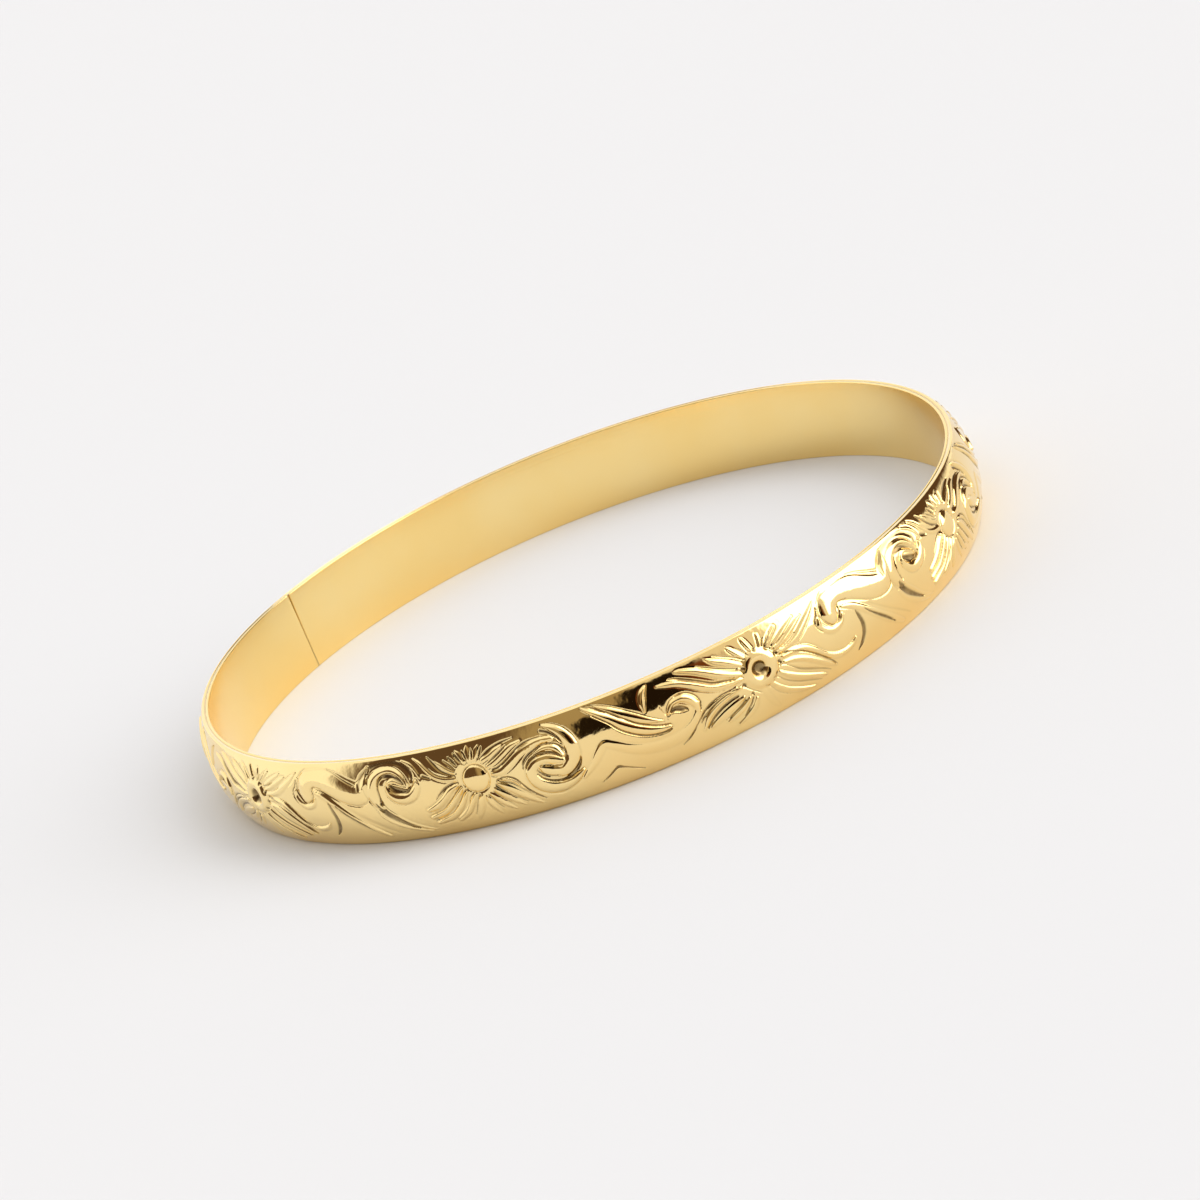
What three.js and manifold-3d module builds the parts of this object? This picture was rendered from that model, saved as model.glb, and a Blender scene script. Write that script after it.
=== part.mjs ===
// A slip-on bangle bracelet, built as a hollow band.
//
// Two thin brass strips make the band: a domed outer shell with turned-in lips, and a plain liner
// that lies against the wrist. A ring of solder joins them along each rim, and the band is closed
// into a circle by one butt joint that runs through both strips.
//
// Frame: millimetres, +Z along the axis of the ring. The bangle lies flat on its lower rim, with the
// origin at the centre of the ring in the plane of that rim.

import * as THREE from "three";
import { mergeVertices } from "three/addons/utils/BufferGeometryUtils.js";
import Module from "manifold-3d";

const wasm = await Module();
wasm.setup();

// ---- Driving dimensions ------------------------------------------------------------------------

const INSIDE_RADIUS = 32.5; // the circle that passes over the hand
const BAND_WIDTH = 7.2; // rim to rim, along Z
const LINER_THICKNESS = 0.25;
const SHEET_THICKNESS = 0.35; // the outer shell's sheet
const RIM_THICKNESS = 0.58; // the flat rim: liner, solder line and lip together
const DOME_RISE = 0.92; // how far the middle of the band stands out beyond its rims
const DOME_ROUNDNESS = 0.95; // 1 is a parabola, and less is a fuller shoulder
const SOLDER_LINE = 0.06; // width of the solder seen along each rim
const SOLDER_FILLET = 0.15; // how much further the solder has run inside the band
const SOLDER_RECESS = 0.02; // the solder line lies just below the polished rims
const JOINT_ANGLE = THREE.MathUtils.degToRad(138.3); // where the band is closed
const JOINT_GAP = 0.09; // between the two ends of each strip
const JOINT_SOLDER = 0.06; // thickness of the solder that fills the gap
const CLEARANCE = 0.02; // between pieces that are soldered together
const LINER_CHAMFER = 0.08;

// ---- Facets ------------------------------------------------------------------------------------

const RING_FACETS = 144; // shared by every ring, so that all facets lie in step
const DOME_FACETS = 12;
const CAVITY_FACETS = 8;

// ---- Sizes worked out from the driving dimensions ------------------------------------------------

const LINER_OUTSIDE = INSIDE_RADIUS + LINER_THICKNESS;
const SOLDER_INSIDE = LINER_OUTSIDE + CLEARANCE;
const LIP_INSIDE = SOLDER_INSIDE + SOLDER_LINE + CLEARANCE;
const RIM_RADIUS = INSIDE_RADIUS + RIM_THICKNESS;
const MIDDLE = BAND_WIDTH / 2;

// ---- Solids --------------------------------------------------------------------------------------

function toSolid(geometry) {
  const shape = geometry.clone();
  shape.deleteAttribute("normal");
  shape.deleteAttribute("uv");
  const merged = mergeVertices(shape);
  const mesh = new wasm.Mesh({
    numProp: 3,
    vertProperties: new Float32Array(merged.attributes.position.array),
    triVerts: new Uint32Array(merged.index.array),
  });
  return new wasm.Manifold(mesh);
}

function toGeometry(solid) {
  const mesh = solid.getMesh();
  const geometry = new THREE.BufferGeometry();
  geometry.setAttribute("position", new THREE.BufferAttribute(mesh.vertProperties, mesh.numProp));
  geometry.setIndex(new THREE.BufferAttribute(mesh.triVerts, 1));
  geometry.computeVertexNormals();
  return geometry;
}

// A ring whose section is a closed list of [radius, height] corners, going up its outer side.
function ringGeometry(section) {
  const corners = section.map(([radius, height]) => new THREE.Vector2(radius, height));
  corners.push(corners[0].clone());
  const ring = new THREE.LatheGeometry(corners, RING_FACETS);
  ring.rotateX(Math.PI / 2);
  return ring;
}

// A block across the band at the closing joint, of the given thickness along the ring.
function jointBlock(thickness) {
  const block = new THREE.BoxGeometry(6, thickness, 3 * BAND_WIDTH);
  block.translate(RIM_RADIUS, 0, MIDDLE);
  block.rotateZ(JOINT_ANGLE);
  return toSolid(block);
}

const jointOpening = jointBlock(JOINT_GAP);
const jointFilling = jointBlock(JOINT_SOLDER);

// The same section mirrored about the middle of the band, with its order kept going up outside.
function mirrored(section) {
  return section.map(([radius, height]) => [radius, BAND_WIDTH - height]).reverse();
}

// ---- Outer shell -----------------------------------------------------------------------------------

// Radius of the shell's outer face: the rim's radius plus a crown that falls to zero at both rims.
function domeRadius(height) {
  const across = (height - MIDDLE) / MIDDLE;
  return RIM_RADIUS + DOME_RISE * Math.max(0, 1 - across * across) ** DOME_ROUNDNESS;
}

function shellSection() {
  const section = [];
  for (let i = 0; i <= DOME_FACETS; i += 1) {
    const height = MIDDLE * (1 - Math.cos((Math.PI * i) / DOME_FACETS));
    section.push([domeRadius(height), height]);
  }
  section.push([LIP_INSIDE, BAND_WIDTH]);
  const cavity = BAND_WIDTH - 2 * SHEET_THICKNESS;
  section.push([LIP_INSIDE, BAND_WIDTH - SHEET_THICKNESS]);
  for (let i = 0; i <= CAVITY_FACETS; i += 1) {
    const height = MIDDLE + (cavity / 2) * Math.cos((Math.PI * i) / CAVITY_FACETS);
    section.push([Math.max(domeRadius(height) - SHEET_THICKNESS, LIP_INSIDE + CLEARANCE), height]);
  }
  section.push([LIP_INSIDE, SHEET_THICKNESS]);
  section.push([LIP_INSIDE, 0]);
  return section;
}

const shellRing = toSolid(ringGeometry(shellSection()));

// ---- Liner -----------------------------------------------------------------------------------------

function linerSection() {
  return [
    [LINER_OUTSIDE, 0],
    [LINER_OUTSIDE, BAND_WIDTH],
    [INSIDE_RADIUS + LINER_CHAMFER, BAND_WIDTH],
    [INSIDE_RADIUS, BAND_WIDTH - LINER_CHAMFER],
    [INSIDE_RADIUS, LINER_CHAMFER],
    [INSIDE_RADIUS + LINER_CHAMFER, 0],
  ];
}

const linerRing = toSolid(ringGeometry(linerSection()));

// ---- Solder along the rims ---------------------------------------------------------------------------

// The solder fills the line between the liner and the lip, and runs on as a fillet inside the band.
function lowerSeamSection() {
  const outside = SOLDER_INSIDE + SOLDER_LINE;
  const fillet = SHEET_THICKNESS + SOLDER_FILLET;
  return [
    [SOLDER_INSIDE, SOLDER_RECESS],
    [outside, SOLDER_RECESS],
    [outside, SHEET_THICKNESS + CLEARANCE],
    [SOLDER_INSIDE, fillet],
  ];
}

// ---- Materials -----------------------------------------------------------------------------------

const polishedGold = { color: 0xe8c065, metalness: 1, roughness: 0.12 };
const satinGold = { color: 0xe2bb68, metalness: 1, roughness: 0.38 };
const solderGold = { color: 0xcfa95c, metalness: 1, roughness: 0.45 };

// ---- Assembly --------------------------------------------------------------------------------------

const bangle = new THREE.Group();

function addPiece(name, geometry, finish) {
  const piece = new THREE.Mesh(geometry, new THREE.MeshStandardMaterial(finish));
  piece.name = name;
  bangle.add(piece);
}

addPiece("outer_shell", toGeometry(shellRing.subtract(jointOpening)), polishedGold);
addPiece("inner_liner", toGeometry(linerRing.subtract(jointOpening)), satinGold);
addPiece("lower_solder_seam", ringGeometry(lowerSeamSection()), solderGold);
addPiece("upper_solder_seam", ringGeometry(mirrored(lowerSeamSection())), solderGold);
addPiece("shell_closing_joint", toGeometry(shellRing.intersect(jointFilling)), solderGold);
addPiece("liner_closing_joint", toGeometry(linerRing.intersect(jointFilling)), solderGold);

export default bangle;
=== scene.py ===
"""Looks of a slip-on bangle: an embossed, mirror-polished gold shell round a satin liner.

The functions that shape the pieces work in millimetres, and add_mesh turns them into metres.
"""

import math

import bpy
import numpy as np
from mathutils import Matrix, Vector


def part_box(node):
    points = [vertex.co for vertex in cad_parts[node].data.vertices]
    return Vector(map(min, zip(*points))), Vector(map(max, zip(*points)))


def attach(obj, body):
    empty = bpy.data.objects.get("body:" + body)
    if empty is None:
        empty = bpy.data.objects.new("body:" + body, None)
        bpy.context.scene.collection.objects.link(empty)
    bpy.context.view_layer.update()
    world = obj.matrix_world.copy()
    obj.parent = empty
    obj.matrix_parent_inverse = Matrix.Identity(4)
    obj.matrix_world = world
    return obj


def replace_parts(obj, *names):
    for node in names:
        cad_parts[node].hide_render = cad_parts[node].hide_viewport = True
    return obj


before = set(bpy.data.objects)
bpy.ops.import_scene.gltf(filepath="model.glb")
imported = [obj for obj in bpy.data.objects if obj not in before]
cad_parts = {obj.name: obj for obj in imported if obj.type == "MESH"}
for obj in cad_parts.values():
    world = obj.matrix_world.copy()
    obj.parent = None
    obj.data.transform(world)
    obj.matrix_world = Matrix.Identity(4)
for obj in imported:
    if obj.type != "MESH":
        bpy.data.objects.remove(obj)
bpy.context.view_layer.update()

MM = 0.001
ROOT = "root"
TINY = 1e-12  # added to a normal's length before the normal is divided by it

# ---- The band's sizes, read from the frame, in millimetres ---------------------------------------


def node_radii(name):
    """Distance from the ring's axis and height of every point of a CAD node, in millimetres."""
    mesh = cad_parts[name].data
    points = np.empty(len(mesh.vertices) * 3, np.float32)
    mesh.vertices.foreach_get("co", points)
    points = points.reshape(-1, 3) / MM
    return np.hypot(points[:, 0], points[:, 1]), points[:, 2]


shell_radii, shell_heights = node_radii("outer_shell")
liner_radii, _ = node_radii("inner_liner")
on_lower_rim = shell_heights < 0.001

BAND_WIDTH = float(shell_heights.max())
MIDDLE = BAND_WIDTH / 2
CREST_RADIUS = float(shell_radii.max())
RIM_RADIUS = float(shell_radii[on_lower_rim].max())
LIP_RADIUS = float(shell_radii[on_lower_rim].min())
INSIDE_RADIUS = float(liner_radii.min())
LINER_RADIUS = float(liner_radii.max())
DOME_RISE = CREST_RADIUS - RIM_RADIUS
DOME_ROUNDNESS = 0.9  # 1 is a parabola, and less is a fuller shoulder
JOINT_LINE = 0.03  # width of the line left where the band is closed


def joint_angles():
    """The closing joint's angle round the ring, and half the angle of its line, in radians."""
    low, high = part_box("shell_closing_joint")
    centre = (low + high) / 2
    return math.atan2(centre.y, centre.x), JOINT_LINE / 2 / CREST_RADIUS


JOINT_ANGLE, JOINT_HALF = joint_angles()

# ---- The pattern ---------------------------------------------------------------------------------
# Places are (along, down, width): millimetres along the band at its crest, counted from the side that
# faces left in the front view, millimetres down from the upper rim, and the stroke's width there.
# Each stroke is (height, places). Raised strokes are petals, stems and ribs; cut ones are grooves.

ALONG_ZERO = math.radians(-178.0)
ALONG_RADIUS = 34.1  # turns an angle round the band into a length along it
REPEAT = 47.1
PATTERN_START, PATTERN_END = 28, 78  # no stroke reaches past these
RIM_FADE = 0.5  # the pattern grows from nothing over this width beside each rim

RAISE = 0.8  # how much of the strokes' heights and depths is used
SINK = 0.8
SPREAD = 1.15  # raised strokes blend out a little past their stated width
THINNEST = 0.03  # a stroke's least width
SHORTEST = 1e-9  # added to a squared length along a stroke, which could be nothing
CUT_MARGIN = 0.05
CREASE = 0.2  # the sheet dips beside each raised stroke by this much of its height
CREASE_WIDTH = 0.15
CREASE_FULL = 0.04  # a crease is gone where the sheet is raised by this, and its painted shade is darkest at this depth
# how dark the painted shade in a crease gets
CREASE_SHADE_DARKNESS = 0.15
DARK_FROM, DARK_OVER = 0.025, 0.05  # depth at which a cut starts to be painted darker with residue and painted shade, and until it is darkest

# How each kind of hump falls off, as a power: 1 is round, more is pointed and less is full.
STROKE_POWER = 1.1
BOSS_POWER = 0.8
DISH_POWER = 2

SMALL_SCROLL = {
    "raised": [
        (0.20, [(30.25, 3.75, 0.45), (29.95, 3.2, 0.75), (29.8, 2.6, 0.95), (29.85, 2.0, 0.95),
                (30.2, 1.4, 0.8), (30.85, 1.0, 0.55), (31.6, 0.86, 0.42), (32.3, 1.0, 0.42),
                (32.85, 1.45, 0.38), (33.12, 2.0, 0.3), (33.2, 2.45, 0.12)]),
        (0.18, [(31.3, 2.1, 0.25), (31.42, 2.65, 0.5), (31.95, 3.12, 0.7), (32.7, 3.25, 0.8),
                (33.4, 3.0, 0.8), (33.9, 2.5, 0.6), (34.05, 2.0, 0.25)]),
        (0.10, [(31.25, 2.15, 0.2), (31.5, 1.82, 0.22), (32.0, 1.68, 0.26), (32.5, 1.88, 0.26),
                (32.9, 2.1, 0.15)]),
        (0.06, [(29.6, 3.9, 0.1), (30.0, 4.6, 0.22), (30.7, 5.25, 0.25), (31.6, 5.8, 0.25),
                (32.6, 6.2, 0.25), (33.6, 6.5, 0.1)]),
        (0.06, [(30.45, 3.4, 0.15), (30.75, 4.0, 0.25), (31.4, 4.65, 0.25), (32.1, 5.35, 0.22),
                (33.0, 5.95, 0.25), (34.0, 6.4, 0.1)]),
        (0.07, [(33.2, 0.35, 0.1), (33.9, 0.75, 0.25), (34.3, 1.3, 0.22), (34.45, 1.8, 0.1)]),
    ],
    "cut": [
        (0.12, [(30.5, 3.45, 0.1), (30.35, 2.8, 0.16), (30.42, 2.0, 0.16), (30.75, 1.45, 0.3),
                (31.4, 1.3, 0.45), (32.05, 1.4, 0.38), (32.55, 1.75, 0.28), (32.92, 2.1, 0.1)]),
        (0.05, [(29.15, 1.9, 0.1), (29.2, 2.8, 0.16), (29.4, 3.4, 0.18), (29.65, 4.0, 0.08)]),
        (0.07, [(28.7, 2.0, 0.3), (28.85, 1.3, 0.6), (29.6, 0.75, 0.6), (30.7, 0.42, 0.55),
                (31.9, 0.32, 0.5), (33.0, 0.6, 0.5), (33.75, 1.3, 0.55), (33.7, 1.9, 0.4)]),
        (0.18, [(31.6, 2.05, 0.25), (32.0, 2.35, 0.55), (32.5, 2.55, 0.6), (33.05, 2.65, 0.35),
                (33.45, 2.4, 0.15)]),
        (0.14, [(29.9, 3.3, 0.15), (30.15, 3.9, 0.6), (30.65, 4.55, 0.65), (31.3, 5.1, 0.5),
                (32.0, 5.6, 0.32), (32.65, 5.98, 0.08)]),
        (0.10, [(34.75, 1.75, 0.3), (35.3, 2.0, 0.2)]),
    ],
}

SMALL_FLOWER = {
    "raised": [
        (0.10, [(37.35, 2.45, 0.3), (36.5, 2.32, 0.32), (35.75, 1.95, 0.3), (35.2, 1.35, 0.26),
                (34.75, 0.75, 0.2), (34.25, 0.35, 0.06)]),
        (0.08, [(37.45, 1.95, 0.2), (36.95, 1.62, 0.22), (36.5, 1.2, 0.18), (36.1, 0.85, 0.05)]),
        (0.14, [(37.35, 2.98, 0.25), (36.6, 3.3, 0.42), (35.9, 3.85, 0.48), (35.1, 4.3, 0.5),
                (34.2, 4.55, 0.3)]),
        (0.14, [(37.6, 3.3, 0.25), (37.05, 3.8, 0.4), (36.3, 4.45, 0.45), (35.4, 4.95, 0.48),
                (34.2, 5.25, 0.3)]),
        (0.14, [(37.9, 3.72, 0.25), (37.35, 4.35, 0.4), (36.7, 4.98, 0.48), (35.8, 5.5, 0.5),
                (34.5, 5.8, 0.25)]),
        (0.12, [(38.45, 4.05, 0.25), (38.0, 4.65, 0.42), (37.35, 5.3, 0.5), (36.4, 5.85, 0.4)]),
        (0.08, [(38.95, 4.3, 0.28), (38.65, 5.0, 0.45), (38.25, 5.7, 0.4), (37.9, 6.2, 0.1)]),
        (0.08, [(39.3, 4.45, 0.2), (39.4, 5.0, 0.4), (39.65, 5.7, 0.35), (39.9, 6.2, 0.1)]),
        (0.08, [(39.75, 4.3, 0.22), (40.15, 4.95, 0.36), (40.6, 5.6, 0.34), (41.1, 6.1, 0.1)]),
        (0.08, [(40.2, 4.0, 0.24), (40.75, 4.7, 0.38), (41.35, 5.4, 0.36), (41.95, 6.0, 0.1)]),
        (0.10, [(40.6, 3.6, 0.22), (41.3, 4.2, 0.45), (42.0, 5.0, 0.5), (42.8, 5.85, 0.35),
                (43.3, 6.3, 0.1)]),
        (0.07, [(40.85, 3.32, 0.12), (41.5, 3.48, 0.18), (42.0, 3.85, 0.2), (42.35, 4.5, 0.18),
                (42.9, 5.25, 0.1)]),
        (0.12, [(40.5, 2.75, 0.3), (41.2, 2.75, 0.5), (42.0, 2.35, 0.6), (42.9, 1.85, 0.5),
                (43.8, 1.55, 0.42), (44.8, 1.38, 0.4), (45.7, 1.45, 0.35)]),
        (0.10, [(40.25, 2.12, 0.25), (40.9, 1.9, 0.32), (41.7, 1.5, 0.34), (42.5, 1.12, 0.3),
                (43.3, 0.95, 0.12)]),
        (0.08, [(39.95, 1.6, 0.25), (40.6, 1.38, 0.26), (41.3, 1.08, 0.22), (41.8, 0.9, 0.06)]),
        (0.07, [(38.95, 1.35, 0.25), (38.97, 0.75, 0.5), (39.0, 0.3, 0.1)]),
        (0.06, [(38.5, 1.35, 0.25), (38.3, 0.85, 0.42), (38.0, 0.45, 0.1)]),
        (0.06, [(39.4, 1.35, 0.25), (39.65, 0.85, 0.42), (39.95, 0.45, 0.1)]),
    ],
    "cut": [
        (0.09, [(37.45, 2.2, 0.12), (37.0, 2.0, 0.22), (36.4, 1.6, 0.3), (35.9, 0.95, 0.3),
                (35.5, 0.45, 0.1)]),
        (0.08, [(37.6, 1.72, 0.12), (37.3, 1.35, 0.22), (36.85, 0.95, 0.15)]),
        (0.10, [(37.52, 2.78, 0.12), (36.9, 2.78, 0.22), (36.3, 2.98, 0.26), (35.8, 3.3, 0.2),
                (35.2, 3.75, 0.06)]),
        (0.08, [(37.62, 3.1, 0.14), (37.2, 3.38, 0.12), (36.7, 3.8, 0.12), (36.1, 4.25, 0.12),
                (35.4, 4.7, 0.14), (34.2, 5.0, 0.1)]),
        (0.08, [(37.9, 3.5, 0.22), (37.6, 3.68, 0.16), (37.25, 4.1, 0.1), (36.7, 4.65, 0.1),
                (35.9, 5.2, 0.1), (34.3, 5.6, 0.1)]),
        (0.07, [(38.3, 3.9, 0.24), (38.0, 4.15, 0.14), (37.65, 4.8, 0.1), (37.0, 5.45, 0.1),
                (36.2, 5.85, 0.06)]),
        (0.08, [(38.8, 4.15, 0.3), (38.55, 4.45, 0.16), (38.2, 5.1, 0.12), (37.8, 5.8, 0.06)]),
        (0.04, [(39.15, 4.45, 0.1), (39.1, 5.0, 0.12), (39.25, 5.8, 0.06)]),
        (0.09, [(39.5, 4.4, 0.26), (39.7, 4.75, 0.16), (39.9, 5.25, 0.14), (40.2, 5.75, 0.06)]),
        (0.09, [(39.98, 4.22, 0.2), (40.3, 4.65, 0.15), (40.6, 5.1, 0.13), (41.05, 5.65, 0.05)]),
        (0.09, [(40.38, 3.7, 0.24), (40.8, 4.25, 0.16), (41.3, 4.9, 0.1), (41.75, 5.35, 0.12),
                (42.2, 5.8, 0.04)]),
        (0.12, [(40.6, 3.35, 0.2), (41.0, 3.25, 0.12), (41.5, 3.32, 0.14), (42.0, 3.68, 0.22),
                (42.3, 4.2, 0.2), (42.7, 4.9, 0.18), (43.15, 5.45, 0.14), (43.65, 6.0, 0.05)]),
        (0.08, [(40.68, 3.42, 0.12), (41.2, 3.62, 0.16), (41.7, 3.92, 0.2), (42.1, 4.4, 0.12),
                (42.7, 5.2, 0.08)]),
        (0.10, [(40.55, 2.42, 0.18), (41.0, 2.38, 0.22), (41.7, 2.08, 0.22), (42.4, 1.68, 0.22),
                (43.1, 1.32, 0.22), (43.9, 1.12, 0.2), (45.0, 1.1, 0.08)]),
        (0.09, [(40.35, 1.88, 0.1), (40.9, 1.6, 0.2), (41.5, 1.3, 0.2), (42.1, 1.0, 0.12)]),
        (0.08, [(39.85, 1.42, 0.12), (40.3, 1.15, 0.28), (40.9, 0.9, 0.32), (41.8, 0.7, 0.32),
                (42.8, 0.6, 0.1)]),
        (0.12, [(37.8, 1.5, 0.12), (37.55, 1.15, 0.34), (37.3, 0.75, 0.1)]),
        (0.12, [(38.2, 1.35, 0.12), (38.0, 1.0, 0.3), (37.8, 0.6, 0.1)]),
        (0.12, [(39.75, 1.35, 0.12), (39.95, 1.0, 0.28), (40.2, 0.6, 0.1)]),
        (0.11, [(38.72, 1.25, 0.1), (38.66, 0.95, 0.24), (38.55, 0.5, 0.06)]),
        (0.11, [(39.2, 1.25, 0.1), (39.26, 0.95, 0.24), (39.38, 0.5, 0.06)]),
    ],
}

LARGE_SCROLL = {
    "raised": [
        (0.20, [(45.35, 0.4, 0.1), (45.9, 0.72, 0.42), (46.5, 1.25, 0.68), (46.9, 2.0, 0.85),
                (46.98, 2.8, 0.95), (46.7, 3.5, 1.05), (46.1, 3.95, 1.05), (45.3, 3.95, 1.0),
                (44.65, 3.65, 0.8), (44.25, 3.3, 0.4)]),
        (0.20, [(46.0, 3.3, 0.45), (45.4, 3.05, 0.7), (44.7, 2.8, 0.75), (43.9, 2.9, 0.75),
                (43.4, 3.5, 0.8), (43.5, 4.35, 0.95), (44.15, 5.05, 0.95), (45.2, 5.35, 0.85),
                (46.3, 5.15, 0.6), (47.2, 4.6, 0.25)]),
        (0.14, [(44.1, 2.15, 0.15), (44.8, 1.98, 0.3), (45.4, 2.05, 0.36), (45.85, 2.4, 0.36),
                (46.15, 2.95, 0.2)]),
    ],
    "cut": [
        (0.14, [(43.78, 3.8, 0.12), (44.05, 4.3, 0.16), (44.7, 4.68, 0.18), (45.5, 4.85, 0.22),
                (46.2, 4.7, 0.4), (46.8, 4.3, 0.42), (47.2, 3.85, 0.25), (47.38, 3.45, 0.06)]),
        (0.10, [(43.85, 3.5, 0.08), (44.25, 3.95, 0.16), (44.8, 4.25, 0.16), (45.4, 4.4, 0.06)]),
        (0.03, [(43.95, 3.28, 0.1), (44.4, 3.1, 0.14), (44.9, 3.15, 0.14), (45.25, 3.55, 0.14),
                (45.7, 3.76, 0.16), (46.02, 3.6, 0.14), (46.15, 3.4, 0.06)]),
        (0.12, [(42.88, 3.0, 0.08), (43.05, 2.55, 0.2), (43.55, 2.15, 0.26), (44.2, 1.88, 0.18),
                (44.8, 1.72, 0.14), (45.4, 1.78, 0.14), (45.95, 2.02, 0.2), (46.35, 2.5, 0.24),
                (46.45, 2.95, 0.12)]),
        (0.12, [(43.1, 3.05, 0.12), (43.55, 2.6, 0.26), (44.3, 2.35, 0.3), (45.0, 2.38, 0.28),
                (45.5, 2.6, 0.28), (46.0, 3.02, 0.08)]),
        (0.12, [(45.1, 0.75, 0.35), (45.6, 1.0, 0.3), (46.1, 1.5, 0.3), (46.35, 1.95, 0.1)]),
        (0.035, [(42.85, 3.1, 0.12), (42.88, 3.9, 0.16), (43.1, 4.65, 0.18), (43.55, 5.3, 0.18),
                 (44.3, 5.8, 0.16), (45.2, 5.98, 0.1)]),
        (0.03, [(43.5, 1.62, 0.06), (44.3, 1.48, 0.1), (45.2, 1.4, 0.06)]),
        (0.03, [(46.9, 0.9, 0.1), (47.35, 1.6, 0.14), (47.5, 2.6, 0.14), (47.4, 3.3, 0.1)]),
    ],
}

LEAF_AND_CURL = {
    "raised": [
        (0.16, [(48.6, 0.2, 0.08), (49.5, 0.88, 0.34), (50.4, 1.62, 0.52), (51.2, 2.42, 0.68),
                (52.0, 3.05, 0.72), (53.0, 3.6, 0.62), (53.9, 3.86, 0.48), (54.5, 3.92, 0.26)]),
        (0.12, [(49.6, 0.35, 0.08), (50.5, 0.95, 0.4), (51.4, 1.62, 0.56), (52.2, 2.2, 0.6),
                (52.9, 2.68, 0.5), (53.5, 3.0, 0.3), (54.1, 3.25, 0.08)]),
        (0.14, [(53.75, 0.42, 0.1), (53.35, 0.8, 0.36), (53.12, 1.35, 0.42), (53.02, 2.1, 0.12)]),
        (0.075, [(47.0, 5.3, 0.2), (48.0, 4.5, 0.5), (48.8, 3.7, 0.6), (49.35, 3.25, 0.55),
                (50.0, 3.6, 0.6), (51.0, 4.3, 0.7), (52.2, 4.85, 0.8), (53.6, 5.1, 0.85),
                (55.0, 5.0, 0.8), (56.1, 4.55, 0.7), (56.85, 3.8, 0.6), (57.05, 3.2, 0.5)]),
        (0.20, [(56.9, 3.75, 0.3), (56.85, 3.1, 0.5), (56.5, 2.55, 0.55), (55.9, 2.25, 0.48),
                (55.2, 2.3, 0.36), (54.75, 2.7, 0.3), (54.6, 3.0, 0.1)]),
    ],
    "cut": [
        (0.12, [(48.9, 0.15, 0.06), (49.7, 0.65, 0.14), (50.7, 1.32, 0.14), (51.5, 2.05, 0.12),
                (52.2, 2.7, 0.14), (53.0, 3.18, 0.14), (53.9, 3.6, 0.16), (54.55, 3.75, 0.1)]),
        (0.10, [(49.2, 0.95, 0.08), (50.2, 1.85, 0.16), (50.75, 2.6, 0.22), (51.5, 3.25, 0.24),
                (52.4, 3.82, 0.22), (53.4, 4.12, 0.2), (54.3, 4.15, 0.16), (54.65, 3.88, 0.06)]),
        (0.07, [(48.8, 0.1, 0.06), (49.8, 0.38, 0.14), (50.7, 0.8, 0.14), (51.6, 1.35, 0.1)]),
        (0.20, [(54.85, 2.98, 0.1), (55.2, 2.85, 0.48), (55.65, 2.98, 0.62), (56.1, 3.2, 0.25)]),
        (0.10, [(55.5, 1.95, 0.08), (56.3, 1.98, 0.14), (56.9, 2.35, 0.18), (57.2, 2.9, 0.18),
                (57.1, 3.5, 0.1), (57.0, 3.8, 0.05)]),
        (0.05, [(54.2, 2.15, 0.08), (54.4, 2.7, 0.12), (54.5, 3.4, 0.06)]),
        (0.10, [(48.1, 6.25, 0.05), (48.8, 5.88, 0.14), (49.5, 5.45, 0.2), (49.75, 5.42, 0.3),
                (50.1, 5.62, 0.18), (50.8, 6.02, 0.14), (51.5, 6.38, 0.05)]),
        (0.10, [(54.9, 5.78, 0.06), (55.6, 5.4, 0.12), (56.2, 4.9, 0.13), (56.8, 4.35, 0.13),
                (57.3, 3.9, 0.13), (58.0, 3.55, 0.13), (58.8, 3.38, 0.12), (59.8, 3.32, 0.1),
                (60.4, 3.3, 0.05)]),
    ],
}

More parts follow.
